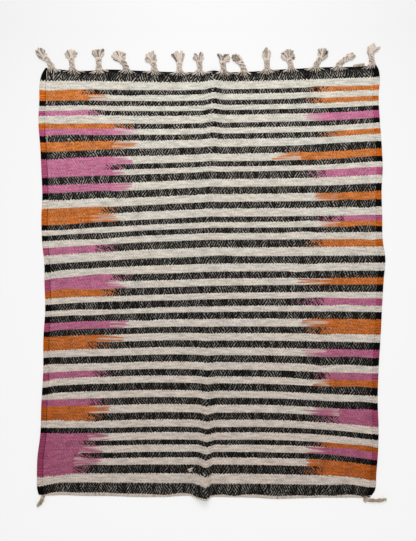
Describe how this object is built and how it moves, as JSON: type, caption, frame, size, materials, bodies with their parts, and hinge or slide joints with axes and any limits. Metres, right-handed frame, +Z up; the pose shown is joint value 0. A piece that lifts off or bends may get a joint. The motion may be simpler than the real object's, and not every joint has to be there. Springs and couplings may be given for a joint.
{
  "type": "moroccan rug",
  "caption": "Flat-woven Moroccan wool rug laid flat, with uneven cream, black, orange and pink stripes, woven selvedges, a centre crease and knotted warp tassels along one end.",
  "frame": {"origin": "centre of the whole rug's footprint, tassels included, on the floor it lies on", "axes": "+X across the rug, along its stripes; +Y along its length towards the knotted tassels; +Z up, out of the rug's face"},
  "size_m": [1.5538, 2.0576, 0.0474],
  "materials": {
    "kilim_wool": "matte weft-faced wool, striped across in cream, black, orange and pink",
    "warp_yarn": "matte undyed plied wool yarn"
  },
  "bodies": {
    "root": {"rug": "kilim_wool", "tassel_01": "warp_yarn", "tassel_02": "warp_yarn", "tassel_03": "warp_yarn", "tassel_04": "warp_yarn", "tassel_05": "warp_yarn", "tassel_06": "warp_yarn", "tassel_07": "warp_yarn", "tassel_08": "warp_yarn", "tassel_09": "warp_yarn", "tassel_10": "warp_yarn", "tassel_11": "warp_yarn", "tassel_12": "warp_yarn", "tassel_13": "warp_yarn", "tassel_14": "warp_yarn", "tassel_stub": "warp_yarn", "corner_tassel_left": "warp_yarn", "corner_tassel_right": "warp_yarn"}
  },
  "joints": []
}
